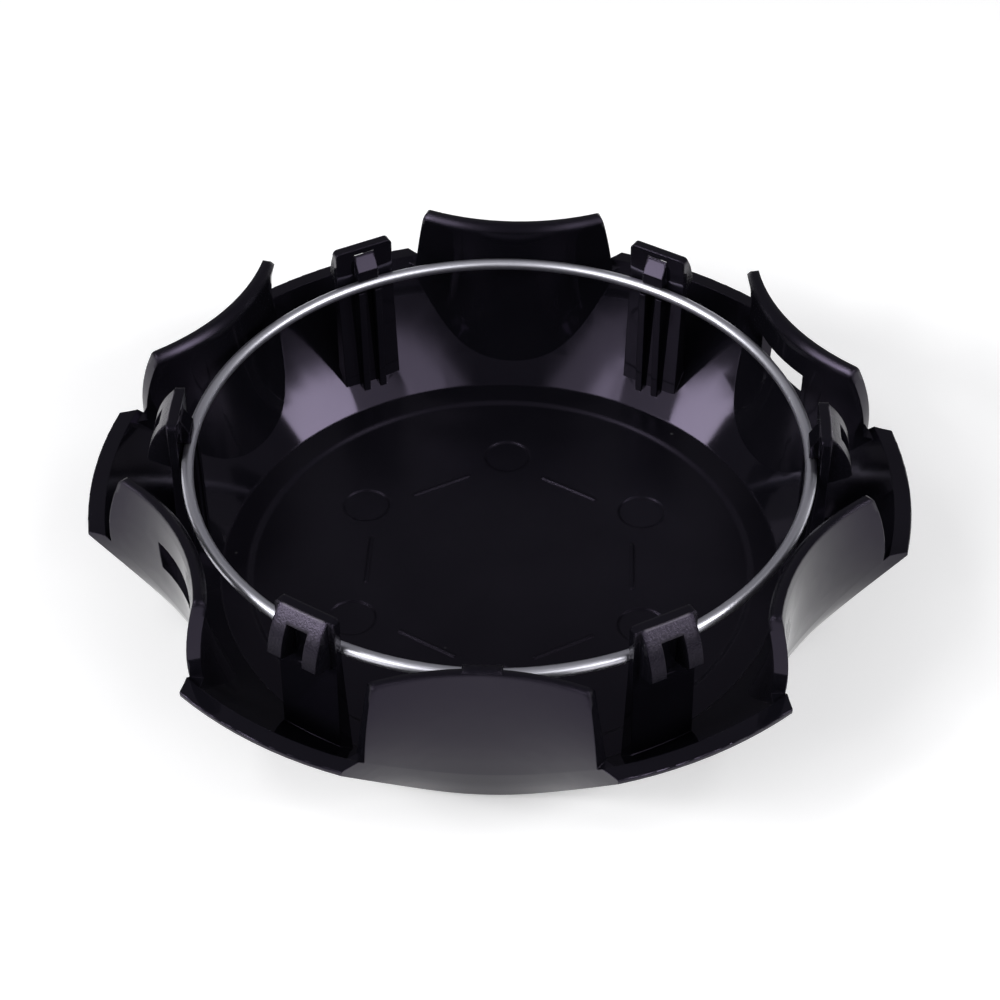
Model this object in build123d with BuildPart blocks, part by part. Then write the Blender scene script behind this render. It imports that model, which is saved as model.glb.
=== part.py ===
"""Wheel centre cap with six lug scallops, six snap clips and a spring-wire ring.

Millimetres, +Z up. The cap lies on its front face, so z = 0 is that face and
its hollow back is up. The wheel's axis is the Z axis, and a lobe with its clip
lies on +X.
"""
import math
import os

from build123d import *

os.makedirs("parts", exist_ok=True)

# Plan of the cap
lobes = 6
overall_diameter = 138.6

# Dome: a cone from the flat front face up to a flat lip
lip_height = 21.8
lip_width = 2.8
lip_land = 0.8
lip_edge_radius = 0.25
dome_outer_run = 18.3
dome_inner_run = 17.7
front_edge_radius = 2.5

# Floor inside the dome, a shallow step below a flat ledge at the dome's foot
ledge_thickness = 2.7
ledge_width = 5.5
floor_step = 0.5
floor_step_run = 0.8
ledge_edge_radius = 0.4

# Lug scallop: fades out round the front face, is deepest just below the lip and flatter at the top
parting_drop = 0.5
scallop_depth = 11.7
scallop_top_depth = 12.3
scallop_face_margin = 1.3
scallop_lip_radius = 29.0
scallop_top_radius = 64.0
scallop_reach_share = 0.88

# Wall round each scallop, standing above the lip, with ends square to its curve
wall_thickness = 2.3
wall_foot_thickness = 3.1
wall_rise = 12.8
wall_lip_width = 34.7
wall_rim_width = 32.5
rim_corner_radius = 0.8
rim_chamfer = 1.1

# Steel ring, a wire bent to a circle with a small gap between its ends
wire_diameter = 2.0
ring_to_wall = 2.3
ring_rise = 7.0
ring_gap = 2.5
ring_gap_azimuth = 270

# Clearances round the wire in each clip
wire_to_plate = 0.15
wire_to_rib = 0.10
wire_to_hook = 0.20

# Snap clip: a plate that springs, with a barb outside and a hook and two ribs inside
clip_rise = 7.6
plate_width = 11.0
plate_thickness = 1.45
plate_foot_thickness = 2.9
plate_lean = 0.2
plate_corner_radius = 0.9
barb_width = 9.0
barb_depth = 4.0
barb_underside = 2.0
barb_nose = 0.6
slot_width = 3.9
slot_bar = 2.1
slot_inner_bar = 1.2
hook_overlap = 0.5
hook_nose = 2.1
hook_rise = 5.0
rib_spacing = 3.3
rib_thickness = 1.3
rib_overlap = 1.0

# Pry slots through two opposite scallop walls
pry_length = 13.0
pry_height = 5.8
pry_sill = 0.2

# Tool marks in the floor: an ejector disc per scallop, a fine line per lobe
ejector_circle = 57.2
ejector_diameter = 8.2
ejector_depth = 0.25
line_circle = 46.2
line_length = 11.3
line_width = 0.5
line_height = 0.25

# Heights and radii that follow
scallop_azimuth = 180 / lobes
lip_r = overall_diameter / 2
lip_inner_r = lip_r - lip_width
front_r = lip_r - dome_outer_run
foot_r = lip_inner_r - dome_inner_run
ledge_z = ledge_thickness
floor_r = foot_r - ledge_width
floor_z = ledge_z - floor_step
parting_z = lip_height - parting_drop
rim_z = lip_height + wall_rise

scallop_face_r = front_r + scallop_face_margin
scallop_lip_mid = lip_r - scallop_depth
scallop_top_mid = lip_r - scallop_top_depth
scallop_reach = scallop_reach_share * scallop_lip_radius

wire_r = wire_diameter / 2
ring_r = scallop_lip_mid - wall_thickness - ring_to_wall - wire_r
ring_z = lip_height + ring_rise
clip_z = ring_z + clip_rise
above_all = clip_z + 2
beyond_all = 1.5 * lip_r

plate_inner_r = ring_r + wire_r + wire_to_plate
plate_outer_r = plate_inner_r + plate_thickness
barb_r = plate_outer_r + barb_depth
barb_z = ring_z
slot_top_z = clip_z - slot_bar
slot_inner_z = clip_z - slot_inner_bar
hook_r = ring_r - hook_overlap
hook_z = ring_z + wire_r + wire_to_hook
hook_root_z = hook_z + hook_rise
rib_r = ring_r - rib_overlap
rib_z = ring_z - wire_r - wire_to_rib


def round_corner(section, r, z, radius):
    """Fillet the corner of a section that lies nearest to (r, z)."""
    fillet(section.vertices().sort_by_distance((r, z, 0))[0], radius)


def beyond(z, edge, mid):
    """Plan of everything beyond an arc through the scallop's middle, open towards +X."""
    with BuildSketch(Plane.XY.offset(z)) as section:
        with BuildLine():
            ThreePointArc((edge, -scallop_reach), (mid, 0), (edge, scallop_reach))
            Polyline(
                (edge, scallop_reach),
                (beyond_all, scallop_reach),
                (beyond_all, -scallop_reach),
                (edge, -scallop_reach),
            )
        make_face()
    return section.sketch


def beyond_front(z, radius):
    """Plan beyond the round front, whose circle is about the wheel's axis."""
    return beyond(z, math.sqrt(radius**2 - scallop_reach**2), radius)


def beyond_hollow(z, mid, radius):
    """Plan beyond a hollow arc of the given radius."""
    return beyond(z, mid + radius - math.sqrt(radius**2 - scallop_reach**2), mid)


def wall_section(z, mid, radius, width):
    """Plan between the two ends of a scallop wall at height z."""
    centre = mid + radius
    spread = width / 2 / math.sqrt(radius**2 - (width / 2) ** 2)
    near = mid - radius / 2
    far = mid + radius / 2
    with BuildSketch(Plane.XY.offset(z)) as section:
        with BuildLine():
            Polyline(
                (near, -(centre - near) * spread),
                (far, -(centre - far) * spread),
                (far, (centre - far) * spread),
                (near, (centre - near) * spread),
                close=True,
            )
        make_face()
    return section.sketch


# Dome with its floor and flat lip
with BuildPart() as dome:
    with BuildSketch(Plane.XZ) as dome_section:
        with BuildLine():
            Polyline(
                (0, 0),
                (front_r, 0),
                (lip_r, lip_height - lip_land),
                (lip_r, lip_height),
                (lip_inner_r, lip_height),
                (foot_r, ledge_z),
                (floor_r + floor_step_run, ledge_z),
                (floor_r, floor_z),
                (0, floor_z),
                close=True,
            )
        make_face()
        round_corner(dome_section, front_r, 0, front_edge_radius)
        round_corner(dome_section, floor_r + floor_step_run, ledge_z, ledge_edge_radius)
        round_corner(dome_section, lip_r, lip_height, lip_edge_radius)
    revolve(axis=Axis.Z)

# Inside of the bowl down to half the dome's thickness, where walls and clips take root
root_z = ledge_z / 2
root_foot_r = (front_r + foot_r) / 2
root_lip_r = (lip_r + lip_inner_r) / 2
with BuildPart() as bowl:
    with BuildSketch(Plane.XZ):
        with BuildLine():
            Polyline(
                (0, root_z),
                (root_foot_r, root_z),
                (root_lip_r, lip_height),
                (root_lip_r, above_all),
                (0, above_all),
                close=True,
            )
        make_face()
    revolve(axis=Axis.Z)

# Space beyond one scallop, and the same moved in by the wall's thickness, which grows to its foot
with BuildPart() as scallop_cut:
    face_plan = beyond_front(0, scallop_face_r)
    lip_plan = beyond_hollow(parting_z, scallop_lip_mid, scallop_lip_radius)
    top_plan = beyond_hollow(above_all, scallop_top_mid, scallop_top_radius)
    loft([face_plan, lip_plan, top_plan])

with BuildPart() as scallop_core:
    inset = wall_thickness
    face_plan = beyond_front(0, scallop_face_r - wall_foot_thickness)
    lip_plan = beyond_hollow(parting_z, scallop_lip_mid - inset, scallop_lip_radius + inset)
    top_plan = beyond_hollow(above_all, scallop_top_mid - inset, scallop_top_radius + inset)
    loft([face_plan, lip_plan, top_plan])

# Width of a scallop wall: open below the lip, narrowing from there to the rim
with BuildPart() as wall_width:
    rim_share = (rim_z - parting_z) / (above_all - parting_z)
    rim_mid = scallop_lip_mid + rim_share * (scallop_top_mid - scallop_lip_mid)
    rim_radius = scallop_lip_radius + rim_share * (scallop_top_radius - scallop_lip_radius)
    low_plan = wall_section(lip_height - lip_land, scallop_lip_mid, scallop_lip_radius, wall_lip_width)
    rim_plan = wall_section(rim_z, rim_mid, rim_radius, wall_rim_width)
    loft([low_plan, rim_plan], ruled=True)
    Box(
        beyond_all,
        2 * scallop_reach,
        lip_height - lip_land,
        align=(Align.MIN, Align.CENTER, Align.MIN),
    )

with BuildPart() as scallop_wall:
    add(scallop_core.part)
    add(scallop_cut.part, mode=Mode.SUBTRACT)
    add(bowl.part, mode=Mode.INTERSECT)
    add(wall_width.part, mode=Mode.INTERSECT)
    rim_face = scallop_wall.faces().sort_by(Axis.Z)[-1]
    chamfer(rim_face.edges().sort_by(SortBy.LENGTH)[-2:].sort_by(Axis.X)[0], rim_chamfer)
    rim_face = scallop_wall.faces().sort_by(Axis.Z)[-1]
    fillet(rim_face.edges().sort_by(SortBy.LENGTH)[:2], rim_corner_radius)

# One snap clip, on the lobe at azimuth 0
with BuildPart() as clip:
    with BuildSketch(Plane.XZ):
        with BuildLine():
            Polyline(
                (plate_outer_r - plate_foot_thickness, 0),
                (plate_outer_r + plate_thickness / 2, 0),
                (plate_outer_r, barb_z - barb_underside),
                (plate_outer_r, clip_z),
                (plate_inner_r - plate_lean, clip_z),
                (plate_inner_r, ring_z + wire_r),
                (plate_inner_r, ring_z - wire_r),
                close=True,
            )
        make_face()
    extrude(amount=plate_width / 2, both=True)
    plate_top = clip.faces().sort_by(Axis.Z)[-1]
    fillet(plate_top.edges().filter_by(Axis.X), plate_corner_radius)
    # Barb with a convex lead-in and a sloping underside
    with BuildSketch(Plane.XZ):
        with BuildLine():
            lead_in = ThreePointArc(
                (plate_outer_r, clip_z),
                (plate_outer_r + 0.67 * barb_depth, clip_z - 0.45 * (clip_z - barb_z)),
                (barb_r, barb_z),
            )
            Polyline(
                lead_in @ 1,
                (barb_r - barb_nose, barb_z - barb_nose),
                (plate_outer_r, barb_z - barb_underside),
                (plate_inner_r + plate_thickness / 2, barb_z - barb_underside),
                (plate_inner_r + plate_thickness / 2, clip_z),
                lead_in @ 0,
            )
        make_face()
    extrude(amount=barb_width / 2, both=True)
    # Slot through the barb below its top bar, with a sloping sill over the hook's root
    with BuildSketch(Plane.XZ):
        with BuildLine():
            Polyline(
                (hook_r, slot_inner_z),
                (plate_inner_r, slot_inner_z),
                (plate_outer_r, slot_top_z),
                (barb_r + barb_nose, slot_top_z),
                (barb_r + barb_nose, barb_z - 2 * barb_underside),
                (plate_outer_r, barb_z - 2 * barb_underside),
                (plate_outer_r, hook_root_z - plate_thickness),
                (plate_inner_r, hook_root_z),
                (hook_r, hook_root_z),
                close=True,
            )
        make_face()
    extrude(amount=slot_width / 2, both=True, mode=Mode.SUBTRACT)
    # Hook over the wire
    with BuildSketch(Plane.XZ):
        with BuildLine():
            Polyline(
                (plate_inner_r + plate_thickness / 4, hook_z),
                (plate_inner_r, hook_root_z),
                (hook_r, hook_z + hook_nose),
                (hook_r, hook_z),
                close=True,
            )
        make_face()
    extrude(amount=slot_width / 2, both=True)
    # Two ribs that carry the wire
    with BuildSketch(Plane.XZ.offset(-rib_spacing / 2), Plane.XZ.offset(rib_spacing / 2)):
        with BuildLine():
            Polyline(
                (rib_r, 0),
                (plate_outer_r - plate_thickness / 2, 0),
                (plate_outer_r - plate_thickness / 2, rib_z),
                (rib_r, rib_z),
                close=True,
            )
        make_face()
    extrude(amount=rib_thickness / 2, both=True)
    add(bowl.part, mode=Mode.INTERSECT)

with BuildPart() as cap_body:
    add(dome.part)
    with PolarLocations(0, lobes, start_angle=scallop_azimuth):
        add(scallop_wall.part)
    with PolarLocations(0, lobes, start_angle=scallop_azimuth):
        add(scallop_cut.part, mode=Mode.SUBTRACT)
    with PolarLocations(0, lobes):
        add(clip.part)
    with PolarLocations(0, 2, start_angle=scallop_azimuth):
        with Locations((scallop_lip_mid, 0, lip_height + pry_sill + pry_height / 2)):
            Box(6 * wall_thickness, pry_length, pry_height, mode=Mode.SUBTRACT)
    with PolarLocations(ejector_circle / 2, lobes, start_angle=scallop_azimuth):
        with Locations((0, 0, floor_z)):
            Cylinder(ejector_diameter / 2, 2 * ejector_depth, mode=Mode.SUBTRACT)
    with PolarLocations(line_circle / 2, lobes):
        with Locations((0, 0, floor_z)):
            Box(line_width, line_length, 2 * line_height)

# The wire's circle starts half a gap past the gap's azimuth and ends half a gap before it
gap_angle = math.degrees(ring_gap / ring_r)
ring_start = math.radians(ring_gap_azimuth + gap_angle / 2)
start_plane = Plane(
    origin=(0, 0, 0),
    x_dir=(math.cos(ring_start), math.sin(ring_start), 0),
    z_dir=(math.sin(ring_start), -math.cos(ring_start), 0),
)
with BuildPart() as retaining_ring:
    with BuildSketch(start_plane):
        with Locations((ring_r, ring_z)):
            Circle(wire_r)
    revolve(axis=Axis.Z, revolution_arc=360 - gap_angle)

cap_body.part.label = "cap_body"
retaining_ring.part.label = "retaining_ring"
export_step(cap_body.part, "parts/cap_body.step")
export_step(retaining_ring.part, "parts/retaining_ring.step")
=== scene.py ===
"""Looks for the wheel centre cap: black moulded plastic with a bright spring-wire ring, lying face down."""
import math

import bmesh
import bpy
from mathutils import Matrix, Quaternion, Vector, noise


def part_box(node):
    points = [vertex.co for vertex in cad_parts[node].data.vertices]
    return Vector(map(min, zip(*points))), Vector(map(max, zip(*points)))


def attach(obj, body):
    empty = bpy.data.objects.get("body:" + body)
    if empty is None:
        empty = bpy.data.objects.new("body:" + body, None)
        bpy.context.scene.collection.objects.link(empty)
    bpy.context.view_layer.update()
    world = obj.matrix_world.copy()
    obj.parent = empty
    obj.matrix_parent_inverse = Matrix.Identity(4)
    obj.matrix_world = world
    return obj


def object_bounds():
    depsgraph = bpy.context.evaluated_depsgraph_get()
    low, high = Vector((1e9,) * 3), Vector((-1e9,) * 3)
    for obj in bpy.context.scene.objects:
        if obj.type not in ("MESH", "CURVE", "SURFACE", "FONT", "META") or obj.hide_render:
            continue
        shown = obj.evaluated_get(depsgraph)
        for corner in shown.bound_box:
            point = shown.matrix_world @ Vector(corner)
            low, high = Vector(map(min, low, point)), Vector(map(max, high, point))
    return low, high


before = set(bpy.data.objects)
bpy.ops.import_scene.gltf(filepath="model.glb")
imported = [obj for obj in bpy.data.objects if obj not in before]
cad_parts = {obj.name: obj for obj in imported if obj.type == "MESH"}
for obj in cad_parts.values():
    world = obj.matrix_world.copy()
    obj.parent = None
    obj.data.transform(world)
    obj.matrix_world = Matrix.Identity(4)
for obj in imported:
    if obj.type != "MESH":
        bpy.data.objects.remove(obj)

cad_low, cad_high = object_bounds()
scene = bpy.context.scene
scene.view_settings.view_transform = "Standard"

MM = 0.001

# Sizes read from the frame
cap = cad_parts["cap_body"]
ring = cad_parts["retaining_ring"]
ring_low, ring_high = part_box("retaining_ring")
WIRE_R = (ring_high.z - ring_low.z) / 2
RING_Z = (ring_high.z + ring_low.z) / 2
RING_R = ring_high.x - WIRE_R

# Sizes of the cap's back, in metres
LOBES = 6
LEDGE_R = 0.0488
LEDGE_Z = 0.0027
RIM_Z = 0.0346
RIM_OUTER_R = 0.0576
PLATE_OUTER_R = 0.0546
BARB_LOW_Z = 0.0268


class NodeTools:
    """Short makers for the nodes of one material's tree."""

    MIX_SHARE, MIX_FIRST, MIX_SECOND = 0, 6, 7
    MIX_COLOUR = 2

    def __init__(self, material):
        self.tree = material.node_tree

    def make(self, kind, **settings):
        """A new node with the given settings."""
        node = self.tree.nodes.new(kind)
        for key, value in settings.items():
            setattr(node, key, value)
        return node

    def feed(self, socket, value):
        """Links a socket to another node's output, or sets its value."""
        if isinstance(value, bpy.types.NodeSocket):
            self.tree.links.new(value, socket)
        else:
            socket.default_value = value

    def maths(self, operation, first, second=0.0):
        """One sum on two values."""
        node = self.make("ShaderNodeMath", operation=operation)
        self.feed(node.inputs[0], first)
        self.feed(node.inputs[1], second)
        return node.outputs[0]

    def product(self, first, *others):
        """All values multiplied."""
        for other in others:
            first = self.maths("MULTIPLY", first, other)
        return first

    def total(self, first, *others):
        """All values added."""
        for other in others:
            first = self.maths("ADD", first, other)
        return first

    def ramp(self, value, limits, ends=(0.0, 1.0)):
        """Goes smoothly from the first end to the second as the value passes between the limits."""
        node = self.make("ShaderNodeMapRange", interpolation_type="SMOOTHSTEP")
        self.feed(node.inputs["Value"], value)
        self.feed(node.inputs["From Min"], limits[0])
        self.feed(node.inputs["From Max"], limits[1])
        self.feed(node.inputs["To Min"], ends[0])
        self.feed(node.inputs["To Max"], ends[1])
        return node.outputs[0]

    def rise(self, value, limits):
        """0 below the limits, 1 above them."""
        return self.ramp(value, limits)

    def fall(self, value, limits):
        """1 below the limits, 0 above them."""
        return self.ramp(value, limits, (1.0, 0.0))

    def grain(self, vector, scale, detail):
        """Noise between 0 and 1."""
        node = self.make("ShaderNodeTexNoise")
        self.feed(node.inputs["Vector"], vector)
        self.feed(node.inputs["Scale"], scale)
        self.feed(node.inputs["Detail"], detail)
        return node.outputs[0]

    def mix(self, share, first, second):
        """Colour between the first and the second."""
        node = self.make("ShaderNodeMix", data_type="RGBA")
        self.feed(node.inputs[self.MIX_SHARE], share)
        self.feed(node.inputs[self.MIX_FIRST], first)
        self.feed(node.inputs[self.MIX_SECOND], second)
        return node.outputs[self.MIX_COLOUR]

    def tones(self, value, dark, pale, limits=(0.0, 1.0)):
        """Colour from dark to pale as the value passes between the limits."""
        node = self.make("ShaderNodeValToRGB")
        self.feed(node.inputs["Fac"], value)
        for element, limit, colour in zip(node.color_ramp.elements, limits, (dark, pale)):
            element.position = limit
            element.color = colour
        return node.outputs[0]

    def bump(self, height, distance, strength):
        """Bump node, whose own normal may still be fed."""
        node = self.make("ShaderNodeBump")
        self.feed(node.inputs["Height"], height)
        self.feed(node.inputs["Distance"], distance)
        self.feed(node.inputs["Strength"], strength)
        return node

    def cylinder_place(self):
        """Object coordinates as one vector, and as radius, turn about the cap's axis and height."""
        place = self.make("ShaderNodeTexCoord").outputs["Object"]
        split = self.make("ShaderNodeSeparateXYZ")
        self.feed(split.inputs[0], place)
        x, y, z = split.outputs
        radius = self.maths("SQRT", self.total(self.product(x, x), self.product(y, y)))
        return place, radius, self.maths("ARCTAN2", y, x), z


def new_material(name):
    """A material with Blender's own Principled shader, and that shader."""
    material = bpy.data.materials.new(name)
    material.use_nodes = True
    return material, material.node_tree.nodes["Principled BSDF"]


# Heights and radii between which the plastic's finish changes
FLOOR_START_Z = (1.2 * MM, 1.6 * MM)
FLOOR_END_Z = (LEDGE_Z + 0.1 * MM, LEDGE_Z + 0.6 * MM)
FLOOR_END_R = (LEDGE_R - 0.3 * MM, LEDGE_R + 0.3 * MM)
BARB_START_R = (PLATE_OUTER_R - 0.1 * MM, PLATE_OUTER_R + 0.2 * MM)
BARB_END_R = (59.0 * MM, 59.4 * MM)
BARB_START_Z = (BARB_LOW_Z - 0.4 * MM, BARB_LOW_Z + 0.2 * MM)
BARB_DULL_Z = (28.5 * MM, 34.5 * MM)
RIM_START_Z = (RIM_Z - 2.7 * MM, RIM_Z - 2.2 * MM)
CLIP_TOP_Z = (33.5 * MM, 34.5 * MM)
FLECKS_START_Z = (32.5 * MM, 34.5 * MM)
# Heights over which the painted highlight along the barbs' top edge comes in
PAINTED_HIGHLIGHT_EDGE_Z = (36.0 * MM, 36.25 * MM)

# The same for the cosine of the turn times the lobes, which is 1 in the middle of each lobe
LOBE_SIDES = (0.45, 0.6)
BARB_SIDES = (0.895, 0.93)

# Noise: scale and detail
SMUDGE = (90.0, 5.0)
GRAIN = (2600.0, 3.0)

# Dust on the floor: cells per metre, limits of a speck's radius in cells, share of the cells left empty
DUST_CELLS = 130.0
DUST_RADIUS = (0.02, 0.05)
DUST_EMPTY = (0.90, 0.92)

# Roughness of the smooth walls, and what is added to it
ROUGH_WALL = 0.05
ROUGH_SMUDGE = 0.05
ROUGH_FLOOR = 0.22
ROUGH_BARB = 0.20
ROUGH_RIM = 0.14

# Reflection
PLASTIC_IOR = 1.345
PLASTIC_TINT = (0.80, 0.68, 1.0, 1)
SPECULAR = 0.5
SPECULAR_LOSS = 0.32

# Colours
PLASTIC_DARK = (0.0036, 0.0034, 0.0052, 1)
PLASTIC_PALE = (0.0048, 0.0045, 0.0066, 1)
PLASTIC_TONES = (0.35, 0.75)
DUST_COLOUR = (0.05, 0.05, 0.055, 1)
# Pale colour of the scuffed flecks, which also serve as painted highlight on the barbs' tops, and of the
# painted highlight along their top edge
SCUFF_AND_HIGHLIGHT_COLOUR = (0.095, 0.088, 0.104, 1)

# Shares of the pale colour in the flecks, for low and high grain, and in the painted highlight along the
# barbs' top edge
FLECK_GRAIN = (0.3, 0.7)
FLECK_SHARES = (0.07, 0.25)
PAINTED_HIGHLIGHT_EDGE_SHARE = 0.9

# Height of the surface's unevenness, as shares of the bump's distance
BUMP_DISTANCE = 0.08 * MM
BUMP_STRENGTH = 0.6
GRAIN_WALL = 0.002
GRAIN_BARB = 1.6
GRAIN_FLOOR = 0.10
RIPPLE = 0.05

# Radius of the edges in shading, and what is added to it
EDGE_SAMPLES = 6
EDGE_R = 0.22 * MM
EDGE_FLOOR = 0.5 * MM
EDGE_RIM = 1.0 * MM
EDGE_CLIP = 0.35 * MM


def black_plastic():
    """Injection-moulded black plastic: gloss walls, a duller dusty floor, and grained, scuffed barbs whose
    upper faces and top edge are lightened by painted highlight.
    """
    material, shader = new_material("black_plastic")
    nodes = NodeTools(material)
    place, radius, turn, z = nodes.cylinder_place()

    # 1 on the floor inside and its ledge, 0 elsewhere
    floor = nodes.product(nodes.fall(z, FLOOR_END_Z), nodes.rise(z, FLOOR_START_Z))
    floor = nodes.product(floor, nodes.fall(radius, FLOOR_END_R))
    # 1 round the middle of each lobe
    wave = nodes.maths("COSINE", nodes.product(turn, float(LOBES)))
    lobe = nodes.rise(wave, LOBE_SIDES)
    # 1 on the barbs outside the clips' plates
    barb = nodes.product(lobe, nodes.rise(radius, BARB_START_R), nodes.fall(radius, BARB_END_R))
    barb = nodes.product(barb, nodes.rise(z, BARB_START_Z))
    # 1 round the tops of the scallop walls, whose edges are rounder and scuffed
    rim = nodes.product(nodes.maths("SUBTRACT", 1.0, lobe), nodes.rise(z, RIM_START_Z))
    # 1 on the upper parts of the clips
    clip_top = nodes.product(lobe, nodes.rise(z, CLIP_TOP_Z))

    smudge = nodes.grain(place, *SMUDGE)
    fine = nodes.grain(place, *GRAIN)

    # A few specks of dust, only on the floor
    cells = nodes.make("ShaderNodeTexVoronoi")
    nodes.feed(cells.inputs["Vector"], place)
    nodes.feed(cells.inputs["Scale"], DUST_CELLS)
    pick = nodes.make("ShaderNodeSeparateColor")
    nodes.feed(pick.inputs[0], cells.outputs["Color"])
    speck = nodes.fall(cells.outputs["Distance"], DUST_RADIUS)
    dust = nodes.product(speck, nodes.rise(pick.outputs[0], DUST_EMPTY), floor)

    # Pale flecks on the barbs' upper faces, partly scuffed grain and partly painted highlight, and a
    # painted highlight along their top edge
    flecks = nodes.product(nodes.rise(z, FLECKS_START_Z), nodes.ramp(fine, FLECK_GRAIN, FLECK_SHARES))
    painted_highlight_edge = nodes.ramp(z, PAINTED_HIGHLIGHT_EDGE_Z, (0.0, PAINTED_HIGHLIGHT_EDGE_SHARE))
    scuffs_and_painted_highlight = nodes.product(nodes.maths("MAXIMUM", flecks, painted_highlight_edge), barb, nodes.rise(wave, BARB_SIDES))

    tone = nodes.tones(smudge, PLASTIC_DARK, PLASTIC_PALE, PLASTIC_TONES)
    dusty = nodes.mix(dust, tone, DUST_COLOUR)
    # Base colour: the plastic's tone, dust, and the pale flecks and painted highlight on the barbs
    nodes.feed(shader.inputs["Base Color"], nodes.mix(scuffs_and_painted_highlight, dusty, SCUFF_AND_HIGHLIGHT_COLOUR))

    rough = nodes.total(
        ROUGH_WALL,
        nodes.product(smudge, ROUGH_SMUDGE),
        nodes.product(floor, ROUGH_FLOOR),
        nodes.product(barb, ROUGH_BARB),
        nodes.product(rim, ROUGH_RIM),
    )
    nodes.feed(shader.inputs["Roughness"], rough)

    # The barbs' grain dulls them more towards their noses
    dull = nodes.product(barb, nodes.ramp(z, BARB_DULL_Z, (SPECULAR_LOSS, 0.0)))
    nodes.feed(shader.inputs["Specular IOR Level"], nodes.maths("SUBTRACT", SPECULAR, dull))

    # Fine grain on the barbs and the floor, a faint ripple elsewhere, over slightly rounded edges
    height = nodes.total(
        nodes.product(fine, nodes.total(GRAIN_WALL, nodes.product(barb, GRAIN_BARB))),
        nodes.product(fine, nodes.product(floor, GRAIN_FLOOR)),
        nodes.product(smudge, RIPPLE),
    )
    edge = nodes.make("ShaderNodeBevel", samples=EDGE_SAMPLES)
    edge_radius = nodes.total(
        nodes.product(floor, EDGE_FLOOR),
        nodes.product(rim, EDGE_RIM),
        nodes.product(clip_top, EDGE_CLIP),
        EDGE_R,
    )
    nodes.feed(edge.inputs["Radius"], edge_radius)
    bump = nodes.bump(height, BUMP_DISTANCE, BUMP_STRENGTH)
    nodes.feed(bump.inputs["Normal"], edge.outputs[0])
    nodes.feed(shader.inputs["Normal"], bump.outputs[0])

    shader.inputs["IOR"].default_value = PLASTIC_IOR
    shader.inputs["Specular Tint"].default_value = PLASTIC_TINT
    return material


# Drawn lines of the wire: stretch round and along it, scale and detail of the noise, and their effect
LINES_ROUND = 6.0
LINES_ALONG = 40.0
LINES = (3.0, 4.0)
LINES_DISTANCE = 0.00003
LINES_STRENGTH = 0.3
ROUGH_WIRE = 0.30
ROUGH_LINES = 0.16
WIRE_DARK = (0.66, 0.66, 0.72, 1)
WIRE_PALE = (0.84, 0.84, 0.92, 1)


def spring_wire():
    """Bright drawn steel: smooth, with faint lines along the wire."""
    material, shader = new_material("spring_wire")
    nodes = NodeTools(material)
    _, radius, turn, z = nodes.cylinder_place()
    off_up = nodes.maths("SUBTRACT", z, RING_Z)
    off_out = nodes.maths("SUBTRACT", radius, RING_R)
    along = nodes.product(turn, RING_R)
    join = nodes.make("ShaderNodeCombineXYZ")
    nodes.feed(join.inputs[0], nodes.product(nodes.maths("ARCTAN2", off_up, off_out), LINES_ROUND))
    nodes.feed(join.inputs[1], nodes.product(along, LINES_ALONG))
    lines = nodes.grain(join.outputs[0], *LINES)
    rough = nodes.total(ROUGH_WIRE, nodes.product(lines, ROUGH_LINES))
    nodes.feed(shader.inputs["Roughness"], rough)
    nodes.feed(shader.inputs["Base Color"], nodes.tones(lines, WIRE_DARK, WIRE_PALE))
    bump = nodes.bump(lines, LINES_DISTANCE, LINES_STRENGTH)
    nodes.feed(shader.inputs["Normal"], bump.outputs[0])
    shader.inputs["Metallic"].default_value = 1.0
    return material


TABLE_COLOUR = (0.93, 0.93, 0.93, 1)
TABLE_ROUGHNESS = 0.9
TABLE_GLOW = 0.28


def pale_floor():
    """White table top, faintly glowing so that shadows stay pale."""
    material, shader = new_material("pale_floor")
    shader.inputs["Base Color"].default_value = TABLE_COLOUR
    shader.inputs["Roughness"].default_value = TABLE_ROUGHNESS
    shader.inputs["Emission Color"].default_value = (1, 1, 1, 1)
    shader.inputs["Emission Strength"].default_value = TABLE_GLOW
    return material


def set_material(obj, material):
    """Gives an object one material in place of its own."""
    obj.data.materials.clear()
    obj.data.materials.append(material)


plastic = black_plastic()
set_material(cap, plastic)
set_material(ring, spring_wire())


# Gate mark, where the moulding was broken off its runner: a low rough scar on the front scallop's rim
GATE_LENGTH = 6.2 * MM
GATE_DEPTH = 2.0 * MM
GATE_HEIGHT = 0.45 * MM
GATE_SINK = 0.9 * MM
GATE_STEPS = (48, 18)
GATE_SIDE = 0.1 * MM
GATE_INSET = 0.15 * MM
GATE_SKIRT_DRAW = 0.25

# Its torn top: mean height, the coarse and fine tears' depth and scale, the least height, and its outline
TORN_MEAN = 0.62
TORN_COARSE = (0.55, 1900.0)
TORN_FINE = (0.30, 4300.0)
TORN_LEAST = 0.12
OUTLINE_POWERS = (2.6, 3.0)
SLOPE_POWER = 0.6


def torn_height(u, v, spot):
    """Height of the scar at a spot, whose place from edge to edge is -1 to 1 both ways."""
    rim = max(abs(u) ** OUTLINE_POWERS[0], abs(v) ** OUTLINE_POWERS[1])
    if rim >= 1:
        return 0.0
    torn = TORN_MEAN
    for depth, scale in (TORN_COARSE, TORN_FINE):
        torn += depth * noise.noise(spot * scale)
    return GATE_HEIGHT * max(torn, TORN_LEAST) * (1 - rim) ** SLOPE_POWER


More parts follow.
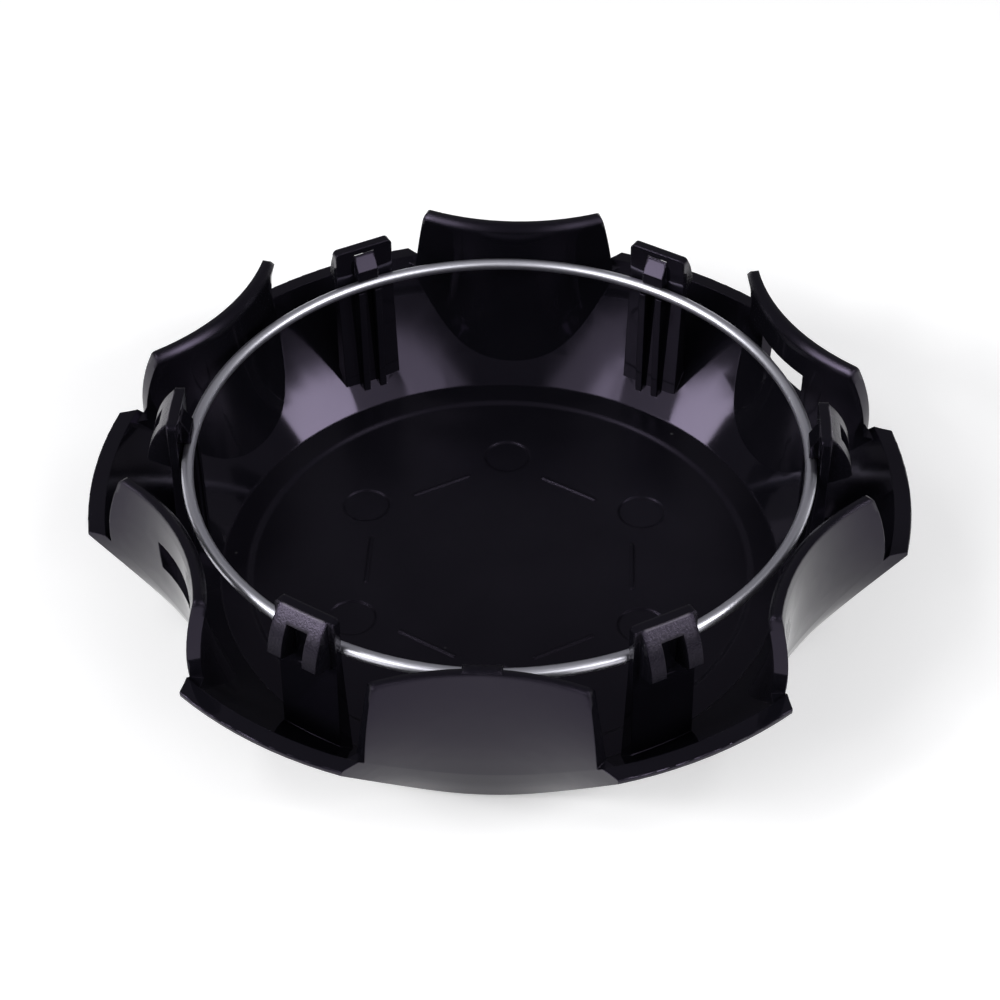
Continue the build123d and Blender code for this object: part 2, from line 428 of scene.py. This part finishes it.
def gate_mark():
    """A torn ridge whose skirt reaches down into the rim."""
    columns, rows = GATE_STEPS
    mesh = bmesh.new()
    middle = Vector((GATE_SIDE, -RIM_OUTER_R + GATE_INSET + GATE_DEPTH / 2, RIM_Z))
    grid = []
    for j in range(rows + 1):
        line = []
        v = 2 * j / rows - 1
        for i in range(columns + 1):
            u = 2 * i / columns - 1
            spot = Vector((u * GATE_LENGTH / 2, v * GATE_DEPTH / 2, 0))
            lift = Vector((0, 0, torn_height(u, v, spot)))
            line.append(mesh.verts.new(middle + spot + lift))
        grid.append(line)
    for j in range(rows):
        for i in range(columns):
            mesh.faces.new((grid[j][i], grid[j][i + 1], grid[j + 1][i + 1], grid[j + 1][i]))
    border = grid[0][:-1] + [line[-1] for line in grid[:-1]]
    border += grid[-1][:0:-1] + [line[0] for line in grid[:0:-1]]
    sink = Vector((0, 0, GATE_SINK))
    inner = []
    for vert in border:
        inner.append(mesh.verts.new(vert.co + (middle - vert.co) * GATE_SKIRT_DRAW - sink))
    for k in range(len(border)):
        n = (k + 1) % len(border)
        mesh.faces.new((border[n], border[k], inner[k], inner[n]))
    mesh.faces.new(inner[::-1])
    for face in mesh.faces:
        face.smooth = True
    bmesh.ops.recalc_face_normals(mesh, faces=mesh.faces)
    data = bpy.data.meshes.new("gate_mark")
    mesh.to_mesh(data)
    mesh.free()
    mark = bpy.data.objects.new("gate_mark", data)
    scene.collection.objects.link(mark)
    set_material(mark, plastic)
    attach(mark, "root")


gate_mark()

# Table, just below the cap
TABLE_HALF = 3.0
TABLE_GAP = 0.00005
floor_mesh = bmesh.new()
bmesh.ops.create_grid(floor_mesh, x_segments=1, y_segments=1, size=TABLE_HALF)
floor_data = bpy.data.meshes.new("floor")
floor_mesh.to_mesh(floor_data)
floor_mesh.free()
floor = bpy.data.objects.new("floor", floor_data)
scene.collection.objects.link(floor)
floor.location.z = cad_low.z - TABLE_GAP
set_material(floor, pale_floor())


# Camera, in degrees, millimetres and pixels of a 1000 pixel frame
CAMERA_AZIMUTH = 2.922
CAMERA_ELEVATION = 42.195
CAMERA_ROLL = -0.558
CAMERA_DISTANCE = 381.57
CAMERA_RIGHT = 0.156
CAMERA_UP = -8.596
FOCAL_PIXELS = 2277.0
FRAME_PIXELS = 1000.0
SENSOR_WIDTH = 36.0
CLIP_START = 0.01


def photo_camera():
    """Camera at the photograph's viewing angle, aimed past the middle of the ring."""
    a = math.radians(CAMERA_AZIMUTH)
    e = math.radians(CAMERA_ELEVATION)
    r = math.radians(CAMERA_ROLL)
    back = Vector((math.sin(a) * math.cos(e), -math.cos(a) * math.cos(e), math.sin(e)))
    level = Vector((math.cos(a), math.sin(a), 0))
    rise = back.cross(level)
    right = math.cos(r) * level + math.sin(r) * rise
    up = -math.sin(r) * level + math.cos(r) * rise
    place = (back * CAMERA_DISTANCE + right * CAMERA_RIGHT + up * CAMERA_UP) * MM
    place.z += RING_Z
    data = bpy.data.cameras.new("camera")
    data.sensor_width = SENSOR_WIDTH
    data.lens = FOCAL_PIXELS / FRAME_PIXELS * data.sensor_width
    data.clip_start = CLIP_START
    camera = bpy.data.objects.new("camera", data)
    turn = Matrix((right, up, back)).transposed().to_4x4()
    camera.matrix_world = Matrix.Translation(place) @ turn
    scene.collection.objects.link(camera)
    scene.camera = camera


photo_camera()

# Softboxes: name, azimuth, elevation and roll in degrees, width and height in metres, radiance
LIGHT_DISTANCE = 0.9
SOFTBOXES = (
    ("left_softbox", -169, 29.8, 20, (0.23, 0.20), 13.0),
    ("right_softbox", -13.7, 32.7, -21, (0.334, 0.20), 12.5),
    ("left_fill", -151, 31, 0, (0.27, 0.42), 1.3),
    ("right_fill", -37, 33, 0, (0.29, 0.42), 1.4),
    ("left_panel", -133, 35, 0, (0.18, 0.33), 5.0),
    ("right_panel", -55, 37.5, 0, (0.18, 0.34), 1.6),
    ("left_wide_panel", -122, 37.6, 0, (0.32, 0.34), 1.7),
    ("right_wide_panel", -60, 38.3, 0, (0.32, 0.34), 2.0),
    ("left_strip", -151, 33, 0, (0.22, 0.09), 30.0),
    ("right_strip", -32, 34, 0, (0.22, 0.09), 0.8),
    ("left_kicker", -144, 18, 0, (0.12, 0.12), 8.0),
    ("right_kicker", -40, 20, 0, (0.12, 0.12), 3.0),
    ("left_top", -172, 58, 0, (0.25, 0.20), 5.0),
    ("right_top", -8, 58, 0, (0.25, 0.20), 3.2),
)


def softbox(name, azimuth, elevation, roll, size, radiance):
    """Rectangular light of a given radiance, aimed at the cap."""
    data = bpy.data.lights.new(name, "AREA")
    data.shape = "RECTANGLE"
    data.size, data.size_y = size
    data.energy = radiance * math.pi * size[0] * size[1]
    light = bpy.data.objects.new(name, data)
    a = math.radians(azimuth)
    e = math.radians(elevation)
    aim = Vector((math.cos(a) * math.cos(e), math.sin(a) * math.cos(e), math.sin(e)))
    light.location = aim * LIGHT_DISTANCE
    light.rotation_mode = "QUATERNION"
    rolled = Quaternion((0, 0, 1), math.radians(roll))
    light.rotation_quaternion = aim.to_track_quat("Z", "Y") @ rolled
    scene.collection.objects.link(light)


for box in SOFTBOXES:
    softbox(*box)

# Faint light from all round
WORLD_COLOUR = (0.95, 0.94, 1.0, 1)
WORLD_STRENGTH = 0.18
world = bpy.data.worlds.new("studio")
world.use_nodes = True
background = world.node_tree.nodes["Background"]
background.inputs["Color"].default_value = WORLD_COLOUR
background.inputs["Strength"].default_value = WORLD_STRENGTH
scene.world = world
